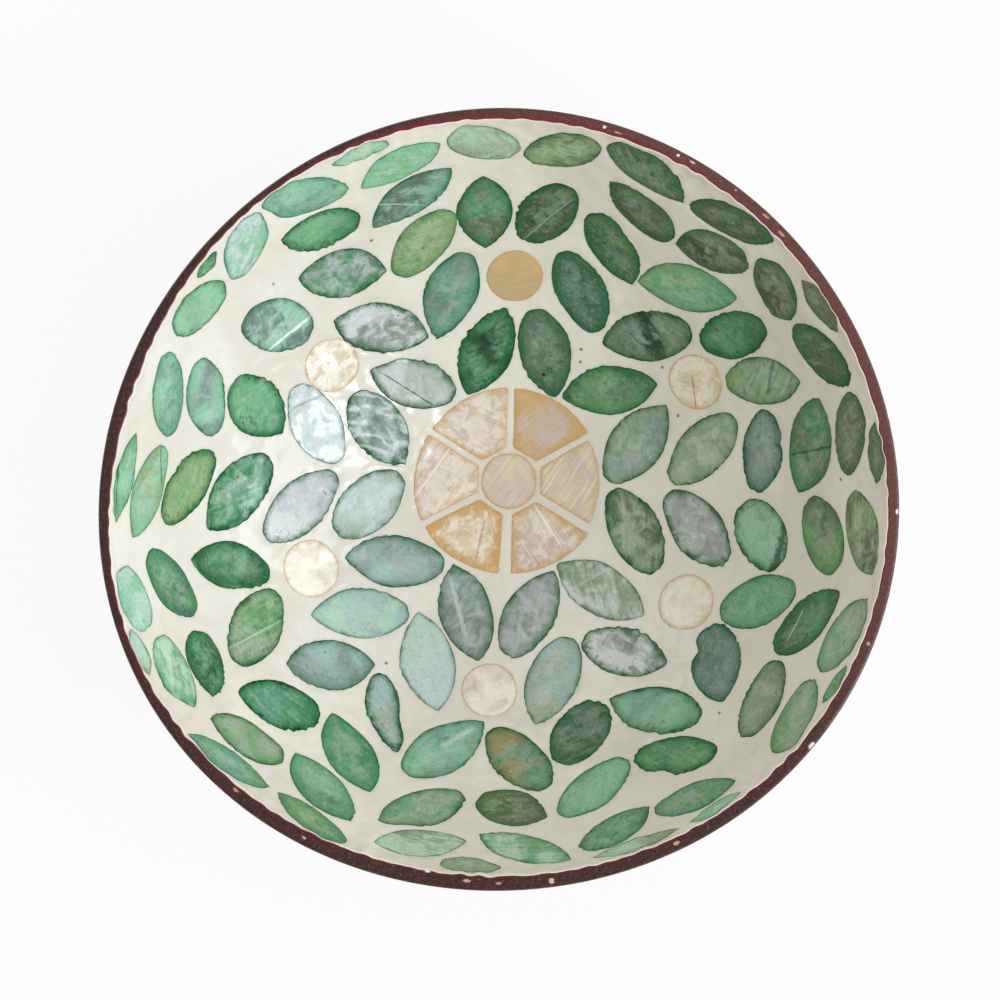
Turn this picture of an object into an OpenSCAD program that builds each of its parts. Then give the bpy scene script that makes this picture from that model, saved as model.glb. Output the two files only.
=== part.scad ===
// Coconut shell bowl lined with a mosaic of mother-of-pearl chips.
// Half a coconut shell, sanded and polished, holds a thin bed of pale filler. Leaf chips, six petals
// and seven discs of pearl lie in pockets of that bed, flush with its face.
// Origin: middle of the foot. +Z goes up through the mouth.

/* [Bowl] */
// Diameter across the outside of the lip
mouth_d = 136; // [132:1:150]
// Depth inside, from the lip to the middle of the lining
bowl_depth = 44; // [40:0.5:47]

/* [Coconut shell] */
// Width of the shell's edge at the lip, seen from above
shell_lip_w = 2; // [1.6:0.1:3]
// Thickness of the shell under the middle, before the foot is sanded flat
shell_base_t = 4; // [3:0.1:5]
// Diameter of the flat foot sanded on the outside
foot_d = 32; // [22:1:36]
// Width of the bevel on both edges of the lip
lip_bevel = 0.4; // [0.2:0.1:0.6]

/* [Filler bed] */
// Width of the filler's edge at the lip, seen from above
bed_lip_w = 1; // [1:0.1:1.8]
// Thickness of the filler in the middle
bed_base_t = 1.8; // [1.4:0.1:2.6]

/* [Chips] */
// Thickness of every chip, and depth of its pocket
chip_t = 0.6; // [0.4:0.1:0.7]
// Full width of a leaf chip, as a share of the mouth's diameter
leaf_w_share = 0.0676; // [0.058:0.0001:0.0684]
// Length that a leaf chip's blunt end loses, as a share of the mouth's diameter
blunt_share = 0.0088; // [0.006:0.0001:0.0118]
// Diameter of the six round spots, as a share of the mouth's diameter
spot_d_share = 0.0691; // [0.0618:0.0001:0.072]

/* [Flower] */
// Diameter of the flower's disc, as a share of the mouth's diameter
disc_d_share = 0.0676; // [0.059:0.0001:0.07]
// Reach of the petals from the middle of the flower, as a share of the mouth's diameter
petal_reach_share = 0.114; // [0.11:0.0005:0.117]
// Gap of filler between two petals, as a share of the mouth's diameter
petal_gap_share = 0.0103; // [0.009:0.0001:0.0147]
// Gap of filler between the disc and the petals' blunt points, as a share of the mouth's diameter
disc_gap_share = 0.0059; // [0.004:0.0001:0.0088]

/* [Hidden] */
$fn = 144;
mouth_r = mouth_d / 2;
leaf_w = leaf_w_share * mouth_d;
blunt_cut = blunt_share * mouth_d;
spot_d = spot_d_share * mouth_d;
disc_d = disc_d_share * mouth_d;
petal_reach = petal_reach_share * mouth_d;
petal_gap = petal_gap_share * mouth_d;
disc_gap = disc_gap_share * mouth_d;

// Every layer of the bowl is part of a sphere. It is fixed by how wide and how deep it is below the
// lip, and kept as the sphere's radius and the height of its centre.
outside_depth = bowl_depth + bed_base_t + shell_base_t;
function sphere_r(lip_r, depth) = (lip_r * lip_r + depth * depth) / (2 * depth);
outside_r = sphere_r(mouth_r, outside_depth);
foot_sag = outside_r - sqrt(pow(outside_r, 2) - pow(foot_d / 2, 2));
lip_z = outside_depth - foot_sag;
function layer(lip_r, depth) =
    let (r = sphere_r(lip_r, depth)) [r, lip_z - depth + r];

bed_lip_r = mouth_r - shell_lip_w;
face_lip_r = bed_lip_r - bed_lip_w;
OUTSIDE = layer(mouth_r, outside_depth);
BED = layer(bed_lip_r, bowl_depth + bed_base_t);
FACE = layer(face_lip_r, bowl_depth);
CHIP = FACE + [chip_t, 0];

// Places are shares of the mouth's radius, read in plan: x to the right, y up. They drop straight
// down onto the lining's face.
function on_face(p) =
    let (flat = p * mouth_r)
    [flat[0], flat[1], FACE[1] - sqrt(pow(FACE[0], 2) - flat * flat)];
function unit(v) = v / norm(v);

// Leaf chips, row by row outward and counter-clockwise from the right. Each is the place of its two
// tips, its width as a share of the full width, and which tips are blunt: 0 none, 1 first,
// 2 second, 3 both.
FLOWER_ROW_SHARES = [
    [0.276, 0.058, 0.427, 0.250, 0.96, 1],
    [0.160, 0.270, 0.405, 0.303, 0.92, 0],
    [0.143, 0.269, 0.092, 0.492, 0.97, 2],
    [-0.082, 0.279, 0.018, 0.496, 0.98, 0],
    [-0.115, 0.275, -0.334, 0.342, 0.92, 1],
    [-0.239, 0.096, -0.374, 0.281, 0.96, 2],
    [-0.248, 0.068, -0.410, -0.076, 0.97, 3],
    [-0.140, -0.155, -0.388, -0.138, 0.94, 1],
    [-0.115, -0.158, -0.054, -0.412, 0.98, 0],
    [0.140, -0.177, 0.021, -0.397, 0.97, 2],
    [0.148, -0.158, 0.368, -0.286, 0.93, 0],
    [0.286, 0.028, 0.397, -0.172, 0.96, 3]
];
INNER_ROW_SHARES = [
    [0.434, 0.059, 0.599, 0.214, 0.92, 3],
    [0.262, 0.410, 0.490, 0.436, 1.00, 2],
    [0.165, 0.642, 0.250, 0.435, 0.95, 3],
    [-0.087, 0.642, -0.162, 0.421, 0.98, 1],
    [-0.182, 0.427, -0.427, 0.470, 1.01, 0],
    [-0.407, 0.106, -0.527, 0.296, 0.94, 3],
    [-0.415, 0.072, -0.585, -0.092, 0.95, 3],
    [-0.231, -0.274, -0.470, -0.282, 0.95, 1],
    [-0.315, -0.411, -0.534, -0.405, 1.01, 0],
    [-0.207, -0.279, -0.157, -0.540, 0.99, 0],
    [-0.306, -0.434, -0.262, -0.644, 0.76, 1],
    [0.177, -0.347, 0.095, -0.579, 0.97, 1],
    [0.219, -0.353, 0.427, -0.410, 0.95, 1],
    [0.424, 0.021, 0.572, -0.151, 0.97, 3]
];
MIDDLE_ROW_SHARES = [
    [0.645, 0.029, 0.682, 0.232, 0.90, 3],
    [0.579, 0.309, 0.764, 0.306, 0.92, 1],
    [0.517, 0.402, 0.674, 0.449, 0.92, 3],
    [0.354, 0.567, 0.605, 0.524, 1.03, 0],
    [0.339, 0.557, 0.243, 0.737, 0.94, 2],
    [0.073, 0.667, 0.171, 0.806, 1.04, 3],
    [-0.034, 0.651, -0.040, 0.834, 1.00, 0],
    [-0.258, 0.584, -0.128, 0.746, 1.00, 3],
    [-0.290, 0.597, -0.516, 0.579, 1.09, 0],
    [-0.485, 0.436, -0.652, 0.474, 1.08, 3],
    [-0.551, 0.178, -0.679, 0.306, 1.03, 2],
    [-0.582, 0.112, -0.736, -0.067, 1.05, 1],
    [-0.574, -0.176, -0.773, -0.142, 0.90, 1],
    [-0.553, -0.228, -0.662, -0.398, 1.00, 3],
    [-0.455, -0.536, -0.652, -0.475, 1.06, 1],
    [-0.332, -0.742, -0.423, -0.536, 1.00, 0],
    [-0.040, -0.571, -0.243, -0.697, 1.01, 2],
    [-0.019, -0.592, 0.122, -0.741, 0.99, 3],
    [0.259, -0.512, 0.158, -0.676, 1.02, 3],
    [0.325, -0.662, 0.162, -0.811, 0.98, 3],
    [0.285, -0.506, 0.513, -0.550, 0.99, 2],
    [0.529, -0.312, 0.568, -0.505, 1.02, 1],
    [0.556, -0.280, 0.745, -0.216, 0.96, 3],
    [0.612, -0.004, 0.703, -0.158, 1.06, 3]
];
OUTER_ROW_SHARES = [
    [0.757, 0.027, 0.810, 0.263, 1.12, 0],
    [0.447, 0.659, 0.631, 0.615, 1.00, 2],
    [0.284, 0.816, 0.434, 0.668, 0.95, 2],
    [-0.122, 0.856, -0.322, 0.709, 0.98, 0],
    [-0.360, 0.720, -0.560, 0.674, 1.03, 1],
    [-0.721, 0.174, -0.767, 0.364, 0.93, 3],
    [-0.722, 0.124, -0.844, -0.043, 0.95, 3],
    [-0.757, -0.269, -0.879, -0.133, 0.94, 3],
    [-0.713, -0.484, -0.746, -0.320, 0.93, 2],
    [-0.545, -0.641, -0.722, -0.538, 1.00, 1],
    [-0.380, -0.815, -0.518, -0.633, 1.06, 0],
    [-0.093, -0.757, -0.312, -0.818, 0.93, 1],
    [-0.053, -0.766, 0.124, -0.815, 0.97, 1],
    [0.352, -0.649, 0.549, -0.642, 0.96, 3],
    [0.629, -0.593, 0.696, -0.399, 0.99, 3],
    [0.693, -0.364, 0.854, -0.226, 1.00, 1],
    [0.776, 0.002, 0.848, -0.168, 1.05, 3]
];
UPPER_ROW_SHARES = [
    [0.870, 0.072, 0.888, 0.275, 0.90, 3],
    [0.743, 0.438, 0.880, 0.306, 0.98, 3],
    [0.680, 0.614, 0.717, 0.466, 1.04, 3],
    [0.486, 0.752, 0.686, 0.664, 0.91, 3],
    [0.283, 0.903, 0.471, 0.763, 1.00, 1],
    [0.073, 0.873, 0.248, 0.905, 1.02, 3],
    [-0.119, 0.931, 0.040, 0.886, 1.03, 3],
    [-0.150, 0.912, -0.354, 0.806, 0.93, 0],
    [-0.392, 0.798, -0.593, 0.751, 0.93, 3],
    [-0.616, 0.724, -0.670, 0.576, 0.93, 3],
    [-0.699, 0.549, -0.824, 0.438, 1.03, 3],
    [-0.844, 0.378, -0.831, 0.172, 0.92, 3],
    [-0.846, 0.139, -0.915, -0.089, 0.93, 1],
    [-0.843, -0.332, -0.757, -0.511, 0.95, 1],
    [-0.765, -0.571, -0.580, -0.718, 0.78, 0],
    [-0.393, -0.865, -0.560, -0.729, 0.80, 1],
    [-0.086, -0.876, -0.321, -0.870, 0.93, 0],
    [-0.052, -0.862, 0.183, -0.922, 0.90, 0],
    [0.216, -0.895, 0.388, -0.779, 0.90, 1],
    [0.399, -0.790, 0.600, -0.704, 0.88, 1],
    [0.702, -0.629, 0.779, -0.447, 0.98, 3],
    [0.801, -0.417, 0.915, -0.236, 0.96, 1],
    [0.885, 0.022, 0.926, -0.180, 0.97, 1]
];
LIP_ROW_SHARES = [
    [0.930, 0.200, 0.938, 0.045, 0.42, 0],
    [0.846, 0.425, 0.757, 0.560, 0.50, 0],
    [-0.278, 0.904, -0.420, 0.845, 0.45, 1],
    [-0.706, 0.628, -0.756, 0.562, 0.36, 0],
    [-0.913, 0.178, -0.947, -0.052, 0.60, 0],
    [-0.868, -0.313, -0.926, -0.160, 0.82, 3],
    [-0.850, -0.423, -0.897, -0.305, 0.30, 0],
    [-0.148, -0.922, 0.006, -0.940, 0.62, 1],
    [0.235, -0.915, 0.462, -0.828, 0.45, 0],
    [0.484, -0.812, 0.607, -0.726, 0.40, 0],
    [0.802, -0.497, 0.858, -0.404, 0.38, 0]
];

// Rows of leaf chips as sub-parts: name, leaves, and how many neighbours lie in one sub-part
ROWS = [
    ["flower_leaf", FLOWER_ROW_SHARES, 1],
    ["inner_leaves", INNER_ROW_SHARES, 2],
    ["middle_leaves", MIDDLE_ROW_SHARES, 4],
    ["outer_leaves", OUTER_ROW_SHARES, 3],
    ["upper_leaves", UPPER_ROW_SHARES, 3],
    ["lip_leaves", LIP_ROW_SHARES, 3]
];
function group_count(row) = ceil(len(row[1]) / row[2]);
function group_leaves(row, i) =
    [for (k = [(i - 1) * row[2] : min(i * row[2], len(row[1])) - 1]) row[1][k]];

// The flower, and the bearing of each petal in degrees
FLOWER_SHARE = [0.025, 0.055];
PETAL_BEARINGS = [0, 59, 118, 177, 236, 299];
PETAL_SPREAD = 60;
SPOT_SHARES = [
    [0.498, 0.306], [0.040, 0.577], [-0.429, 0.352],
    [-0.469, -0.164], [-0.025, -0.486], [0.470, -0.251]
];

// Everything inside a layer, up to the lip
module inside(layer) {
    intersection() {
        translate([0, 0, layer[1]]) sphere(layer[0]);
        translate([0, 0, layer[1] - 2 * layer[0]])
            cylinder(r = 2 * mouth_r, h = lip_z - layer[1] + 2 * layer[0]);
    }
}

// Stands a prism on the lining's face at a place, its own X axis as near along as the face allows
module stand_on_face(p, along) {
    at = on_face(p);
    up = unit([0, 0, FACE[1]] - at);
    x = unit(along - (along * up) * up);
    y = cross(up, x);
    multmatrix([
        [x[0], y[0], up[0], at[0]],
        [x[1], y[1], up[1], at[1]],
        [x[2], y[2], up[2], at[2]],
        [0, 0, 0, 1]
    ]) children();
}

// A prism runs from below the pocket's floor to above the face's rise at the flower's edge
prism_below = 2 * chip_t;
prism_above = chip_t + FACE[0] - sqrt(pow(FACE[0], 2) - pow(petal_reach, 2));
module prism() {
    translate([0, 0, -prism_below]) linear_extrude(prism_below + prism_above) children();
}

// A leaf is the lens between two arcs. The place of a blunt end is where the saw took its tip off, so
// the lens itself runs on past it.
module leaf_outline(length, wide, ends) {
    cut_1 = ends % 2 == 1 ? blunt_cut : 0;
    cut_2 = ends >= 2 ? blunt_cut : 0;
    whole = length + cut_1 + cut_2;
    r = (whole * whole + wide * wide) / (4 * wide);
    middle = (cut_2 - cut_1) / 2;
    difference() {
        intersection() {
            translate([middle, r - wide / 2]) circle(r);
            translate([middle, wide / 2 - r]) circle(r);
        }
        if (cut_1 > 0) translate([-length / 2 - whole, -wide]) square([whole, 2 * wide]);
        if (cut_2 > 0) translate([length / 2, -wide]) square([whole, 2 * wide]);
    }
}

module leaf_prism(leaf) {
    a = [leaf[0], leaf[1]];
    b = [leaf[2], leaf[3]];
    along = on_face(b) - on_face(a);
    stand_on_face((a + b) / 2, along) prism()
        leaf_outline(norm(along), leaf_w * leaf[4], leaf[5]);
}

module petal_prism(i) {
    apex = petal_gap / 2 / sin(PETAL_SPREAD / 2);
    inner = disc_d / 2 + disc_gap;
    half = tan(PETAL_SPREAD / 2);
    stand_on_face(FLOWER_SHARE, [1, 0, 0]) prism() rotate(PETAL_BEARINGS[i - 1]) intersection() {
        circle(petal_reach);
        polygon([
            [inner, -(inner - apex) * half], [2 * petal_reach, -(2 * petal_reach - apex) * half],
            [2 * petal_reach, (2 * petal_reach - apex) * half], [inner, (inner - apex) * half]
        ]);
    }
}

module disc_prism(p, d) {
    stand_on_face(p, [1, 0, 0]) prism() circle(d = d);
}

// What a prism cuts out of the bed, down to the pocket's floor. A pocket at the lip is open above.
module pocket() {
    intersection() {
        children();
        translate([0, 0, CHIP[1]]) sphere(CHIP[0]);
    }
}

// A chip fills its pocket up to the lining's face and no higher than the lip
module chip() {
    difference() {
        intersection() {
            children();
            inside(CHIP);
        }
        translate([0, 0, FACE[1]]) sphere(FACE[0]);
    }
}

module coconut_shell() {
    bevel = lip_bevel + mouth_r - shell_lip_w;
    color("saddlebrown") difference() {
        inside(OUTSIDE);
        translate([0, 0, BED[1]]) sphere(BED[0]);
        translate([0, 0, -mouth_r]) cylinder(r = mouth_r, h = mouth_r);
        translate([0, 0, lip_z - lip_bevel]) rotate_extrude() polygon([
            [mouth_r - 2 * lip_bevel, 2 * lip_bevel], [mouth_r + lip_bevel, 2 * lip_bevel],
            [mouth_r + lip_bevel, -lip_bevel]
        ]);
        translate([0, 0, lip_z - lip_bevel]) rotate_extrude() polygon([
            [bevel + lip_bevel, 2 * lip_bevel], [0, 2 * lip_bevel], [0, 0], [bevel - lip_bevel, 0]
        ]);
    }
}

module filler_bed() {
    color("antiquewhite") difference() {
        inside(BED);
        translate([0, 0, FACE[1]]) sphere(FACE[0]);
        for (row = ROWS) for (leaf = row[1]) pocket() leaf_prism(leaf);
        for (i = [1 : len(PETAL_BEARINGS)]) pocket() petal_prism(i);
        for (spot = SPOT_SHARES) pocket() disc_prism(spot, spot_d);
        pocket() disc_prism(FLOWER_SHARE, disc_d);
    }
}

module flower_disc() {
    color("tan") chip() disc_prism(FLOWER_SHARE, disc_d);
}

module petal(i) {
    color("burlywood") chip() petal_prism(i);
}

module spot(i) {
    color("wheat") chip() disc_prism(SPOT_SHARES[i - 1], spot_d);
}

module leaf_group(leaves) {
    color("seagreen") for (leaf = leaves) chip() leaf_prism(leaf);
}

coconut_shell();
filler_bed();
flower_disc();
for (i = [1 : len(PETAL_BEARINGS)])
    petal(i);
for (i = [1 : len(SPOT_SHARES)])
    spot(i);
for (row = ROWS) for (i = [1 : group_count(row)])
    leaf_group(group_leaves(row, i));
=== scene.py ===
# %% [markdown]
# # A coconut shell bowl lined with mother-of-pearl
# Half a coconut shell is sanded and polished, a bed of pale filler is spread inside it, and leaf
# chips, petals and discs of pearl are pressed into the bed and rubbed down flush. A coat of clear
# lacquer covers everything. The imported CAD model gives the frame: this script loads it, makes a
# finer surface for each of its nodes, and leaves the sizes alone.

# %% Load the frame
import math

import bpy
import numpy as np
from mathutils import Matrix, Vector


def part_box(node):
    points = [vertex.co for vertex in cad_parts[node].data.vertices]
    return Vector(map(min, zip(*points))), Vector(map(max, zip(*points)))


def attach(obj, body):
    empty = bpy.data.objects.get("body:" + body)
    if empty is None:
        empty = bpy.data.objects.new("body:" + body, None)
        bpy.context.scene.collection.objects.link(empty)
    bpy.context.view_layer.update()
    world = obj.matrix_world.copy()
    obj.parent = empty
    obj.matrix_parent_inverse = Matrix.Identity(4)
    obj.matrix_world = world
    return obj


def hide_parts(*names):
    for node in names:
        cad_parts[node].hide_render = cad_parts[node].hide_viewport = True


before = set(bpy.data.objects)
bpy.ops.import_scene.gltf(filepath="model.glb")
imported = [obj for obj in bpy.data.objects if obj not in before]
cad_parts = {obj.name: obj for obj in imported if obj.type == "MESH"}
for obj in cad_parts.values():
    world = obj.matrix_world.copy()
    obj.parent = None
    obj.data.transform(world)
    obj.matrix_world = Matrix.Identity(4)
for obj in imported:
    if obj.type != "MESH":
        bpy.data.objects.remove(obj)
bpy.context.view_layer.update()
scene = bpy.context.scene

# %% [markdown]
# Every layer of the bowl is part of a sphere, as a coconut nearly is. A sphere is fixed by how wide
# and how deep it is below the lip, so the lip's height and width are read from the frame and only
# the wall's thicknesses are stated here. The foot is ground flat, so the outer sphere would reach a
# little below it, by its sag. Lengths are in millimetres until a mesh is made.

# %% Layers of the bowl
MM = 0.001
shell_high = np.array(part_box("coconut_shell")[1]) / MM
bed_low, bed_high = [np.array(c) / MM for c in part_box("filler_bed")]
lip_z = shell_high[2]
bed_lip_r = (bed_high[0] - bed_low[0]) / 2
shell_lip_w = 2.0
mouth_r = bed_lip_r + shell_lip_w
mouth_d = 2 * mouth_r
bed_base_t = 1.8
chip_t = 0.6
pocket_t = chip_t - 0.04
face_lip_w = 1.0
face_lip_r = bed_lip_r - face_lip_w
foot_r = 16.0
outside_sag = 1.82


def layer(lip_r, bottom_z):
    """Sphere through a lip circle and a lowest point: radius = (lip² + depth²) / (2 depth).
    Returns the radius and the height of the centre."""
    depth = lip_z - bottom_z
    r = (lip_r ** 2 + depth ** 2) / (2 * depth)
    return r, bottom_z + r


BED = layer(bed_lip_r, bed_low[2])
FACE = layer(face_lip_r, bed_low[2] + bed_base_t)
OUTSIDE = layer(mouth_r, -outside_sag)
face_centre = np.array([0, 0, FACE[1]])
print("lip %.1f mm up, mouth %.1f mm, lining's radius %.1f mm" % (lip_z, mouth_d, FACE[0]))

# %% [markdown]
# A real shell is never quite round. Seen from above this one is a little long towards the lower
# left and the right, and a little short at the bottom, with three faint corners where a coconut
# has its ridges. Two cosine waves round the bearing say that, and they move shell, bed and chips
# alike, so that everything still fits.

# %% Out of round
OVAL, OVAL_BEARING = 0.012, math.radians(12)
RIDGES, RIDGE_BEARING = 0.0082, math.radians(31)


def out_of_round(p):
    """Scales x and y by 1 + OVAL cos 2(bearing - a) + RIDGES cos 3(bearing + b)."""
    bearing = np.arctan2(p[:, 1], p[:, 0])
    k = 1 + OVAL * np.cos(2 * (bearing - OVAL_BEARING)) + RIDGES * np.cos(3 * (bearing + RIDGE_BEARING))
    return p * np.stack([k, k, np.ones_like(k)], 1)


def moved(point):
    """A single point, out of round as the bowl is."""
    return out_of_round(point[None])[0]


print("widest %.1f%%, narrowest %.1f%%" % (100 * (1 + OVAL + RIDGES), 100 * (1 - OVAL - RIDGES)))

# %% [markdown]
# ## From arrays to meshes
# A surface is a grid of points worked out as one array. Rings of points are joined by quads, and
# a ring that has shrunk to a pole or to a chip's middle is closed with a fan, so every piece is a
# closed solid with its faces outwards.

# %% Mesh helpers
ATTRIBUTES = {1: ("FLOAT", "value"), 3: ("FLOAT_VECTOR", "vector"), 4: ("FLOAT_COLOR", "color")}


def bearings(n):
    """n bearings evenly round a circle."""
    return np.linspace(0, 2 * math.pi, n, endpoint=False)


def ring_faces(rings, n, start=0):
    """Faces of a stack of rings, in order from the inside of the top to the inside of the bottom.
    The first and last are one point each, joined by a fan, and quads join the rings of n points."""
    i = np.arange(n)
    j = (i + 1) % n
    ring = start + 1 + n * np.arange(rings - 2)[:, None]
    first = np.stack([np.full(n, start), ring[0] + i, ring[0] + j], 1)
    quads = np.stack([ring[:-1] + i, ring[1:] + i, ring[1:] + j, ring[:-1] + j], 2)
    last = np.stack([ring[-1] + i, np.full(n, ring[-1, 0] + n), ring[-1] + j], 1)
    return first.tolist() + quads.reshape(-1, 4).tolist() + last.tolist()


def piece(name, node, points, faces, values):
    """Makes a smooth mesh object of points in millimetres that stands for a CAD node and rides on
    the bowl. Each of its values, a number, vector or colour to a point, becomes an attribute."""
    mesh = bpy.data.meshes.new(name)
    mesh.from_pydata((out_of_round(points) * MM).tolist(), [], faces)
    mesh.polygons.foreach_set("use_smooth", np.ones(len(mesh.polygons), bool))
    for key, array in values.items():
        kind, field = ATTRIBUTES[array.size // len(points)]
        data = mesh.attributes.new(key, kind, "POINT").data
        data.foreach_set(field, array.astype(np.float32).ravel())
    mesh.validate()
    mesh.update()
    obj = bpy.data.objects.new(name, mesh)
    scene.collection.objects.link(obj)
    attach(obj, "root")
    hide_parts(node)
    return obj


def triangles(obj):
    """How many triangles a piece has, as a face of n corners makes n - 2."""
    return sum(len(face.vertices) - 2 for face in obj.data.polygons)


def smooth_step(low, high, x):
    """0 below low, 1 above high, and 3t² - 2t³ between."""
    t = np.clip((x - low) / (high - low), 0, 1)
    return t * t * (3 - 2 * t)


def on_circle(turn):
    """Points of the unit circle at some bearings: (cos a, sin a)."""
    return np.stack([np.cos(turn), np.sin(turn)], 1)


def spun(flat, angle):
    """Flat points turned to the left: (u cos a - v sin a, u sin a + v cos a)."""
    c, s = math.cos(angle), math.sin(angle)
    return flat @ np.array([[c, s], [-s, c]])


print("helpers ready")

# %% [markdown]
# ## The places of the chips
# The places were chosen for each chip of the real bowl. They are shares of the mouth's radius,
# x to the right and y up, and drop straight down onto the lining. A leaf has the places of its two
# tips, its width as a share of the full width, and which tips the saw has left blunt: 0 none,
# 1 first, 2 second, 3 both. The same places are in the CAD model, whose pockets they fill.

# %% Places of the leaf chips
FLOWER_ROW_SHARES = [
    [0.276, 0.058, 0.427, 0.250, 0.96, 1], [0.160, 0.270, 0.405, 0.303, 0.92, 0],
    [0.143, 0.269, 0.092, 0.492, 0.97, 2], [-0.082, 0.279, 0.018, 0.496, 0.98, 0],
    [-0.115, 0.275, -0.334, 0.342, 0.92, 1], [-0.239, 0.096, -0.374, 0.281, 0.96, 2],
    [-0.248, 0.068, -0.410, -0.076, 0.97, 3], [-0.140, -0.155, -0.388, -0.138, 0.94, 1],
    [-0.115, -0.158, -0.054, -0.412, 0.98, 0], [0.140, -0.177, 0.021, -0.397, 0.97, 2],
    [0.148, -0.158, 0.368, -0.286, 0.93, 0], [0.286, 0.028, 0.397, -0.172, 0.96, 3]]
INNER_ROW_SHARES = [
    [0.434, 0.059, 0.599, 0.214, 0.92, 3], [0.262, 0.410, 0.490, 0.436, 1.00, 2],
    [0.165, 0.642, 0.250, 0.435, 0.95, 3], [-0.087, 0.642, -0.162, 0.421, 0.98, 1],
    [-0.182, 0.427, -0.427, 0.470, 1.01, 0], [-0.407, 0.106, -0.527, 0.296, 0.94, 3],
    [-0.415, 0.072, -0.585, -0.092, 0.95, 3], [-0.231, -0.274, -0.470, -0.282, 0.95, 1],
    [-0.315, -0.411, -0.534, -0.405, 1.01, 0], [-0.207, -0.279, -0.157, -0.540, 0.99, 0],
    [-0.306, -0.434, -0.262, -0.644, 0.76, 1], [0.177, -0.347, 0.095, -0.579, 0.97, 1],
    [0.219, -0.353, 0.427, -0.410, 0.95, 1], [0.424, 0.021, 0.572, -0.151, 0.97, 3]]
MIDDLE_ROW_SHARES = [
    [0.645, 0.029, 0.682, 0.232, 0.90, 3], [0.579, 0.309, 0.764, 0.306, 0.92, 1],
    [0.517, 0.402, 0.674, 0.449, 0.92, 3], [0.354, 0.567, 0.605, 0.524, 1.03, 0],
    [0.339, 0.557, 0.243, 0.737, 0.94, 2], [0.073, 0.667, 0.171, 0.806, 1.04, 3],
    [-0.034, 0.651, -0.040, 0.834, 1.00, 0], [-0.258, 0.584, -0.128, 0.746, 1.00, 3],
    [-0.290, 0.597, -0.516, 0.579, 1.09, 0], [-0.485, 0.436, -0.652, 0.474, 1.08, 3],
    [-0.551, 0.178, -0.679, 0.306, 1.03, 2], [-0.582, 0.112, -0.736, -0.067, 1.05, 1],
    [-0.574, -0.176, -0.773, -0.142, 0.90, 1], [-0.553, -0.228, -0.662, -0.398, 1.00, 3],
    [-0.455, -0.536, -0.652, -0.475, 1.06, 1], [-0.332, -0.742, -0.423, -0.536, 1.00, 0],
    [-0.040, -0.571, -0.243, -0.697, 1.01, 2], [-0.019, -0.592, 0.122, -0.741, 0.99, 3],
    [0.259, -0.512, 0.158, -0.676, 1.02, 3], [0.325, -0.662, 0.162, -0.811, 0.98, 3],
    [0.285, -0.506, 0.513, -0.550, 0.99, 2], [0.529, -0.312, 0.568, -0.505, 1.02, 1],
    [0.556, -0.280, 0.745, -0.216, 0.96, 3], [0.612, -0.004, 0.703, -0.158, 1.06, 3]]
OUTER_ROW_SHARES = [
    [0.757, 0.027, 0.810, 0.263, 1.12, 0], [0.447, 0.659, 0.631, 0.615, 1.00, 2],
    [0.284, 0.816, 0.434, 0.668, 0.95, 2], [-0.122, 0.856, -0.322, 0.709, 0.98, 0],
    [-0.360, 0.720, -0.560, 0.674, 1.03, 1], [-0.721, 0.174, -0.767, 0.364, 0.93, 3],
    [-0.722, 0.124, -0.844, -0.043, 0.95, 3], [-0.757, -0.269, -0.879, -0.133, 0.94, 3],
    [-0.713, -0.484, -0.746, -0.320, 0.93, 2], [-0.545, -0.641, -0.722, -0.538, 1.00, 1],
    [-0.380, -0.815, -0.518, -0.633, 1.06, 0], [-0.093, -0.757, -0.312, -0.818, 0.93, 1],
    [-0.053, -0.766, 0.124, -0.815, 0.97, 1], [0.352, -0.649, 0.549, -0.642, 0.96, 3],
    [0.629, -0.593, 0.696, -0.399, 0.99, 3], [0.693, -0.364, 0.854, -0.226, 1.00, 1],
    [0.776, 0.002, 0.848, -0.168, 1.05, 3]]
UPPER_ROW_SHARES = [
    [0.870, 0.072, 0.888, 0.275, 0.90, 3], [0.743, 0.438, 0.880, 0.306, 0.98, 3],
    [0.680, 0.614, 0.717, 0.466, 1.04, 3], [0.486, 0.752, 0.686, 0.664, 0.91, 3],
    [0.283, 0.903, 0.471, 0.763, 1.00, 1], [0.073, 0.873, 0.248, 0.905, 1.02, 3],
    [-0.119, 0.931, 0.040, 0.886, 1.03, 3], [-0.150, 0.912, -0.354, 0.806, 0.93, 0],
    [-0.392, 0.798, -0.593, 0.751, 0.93, 3], [-0.616, 0.724, -0.670, 0.576, 0.93, 3],
    [-0.699, 0.549, -0.824, 0.438, 1.03, 3], [-0.844, 0.378, -0.831, 0.172, 0.92, 3],
    [-0.846, 0.139, -0.915, -0.089, 0.93, 1], [-0.843, -0.332, -0.757, -0.511, 0.95, 1],
    [-0.765, -0.571, -0.580, -0.718, 0.78, 0], [-0.393, -0.865, -0.560, -0.729, 0.80, 1],
    [-0.086, -0.876, -0.321, -0.870, 0.93, 0], [-0.052, -0.862, 0.183, -0.922, 0.90, 0],
    [0.216, -0.895, 0.388, -0.779, 0.90, 1], [0.399, -0.790, 0.600, -0.704, 0.88, 1],
    [0.702, -0.629, 0.779, -0.447, 0.98, 3], [0.801, -0.417, 0.915, -0.236, 0.96, 1],
    [0.885, 0.022, 0.926, -0.180, 0.97, 1]]
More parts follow.
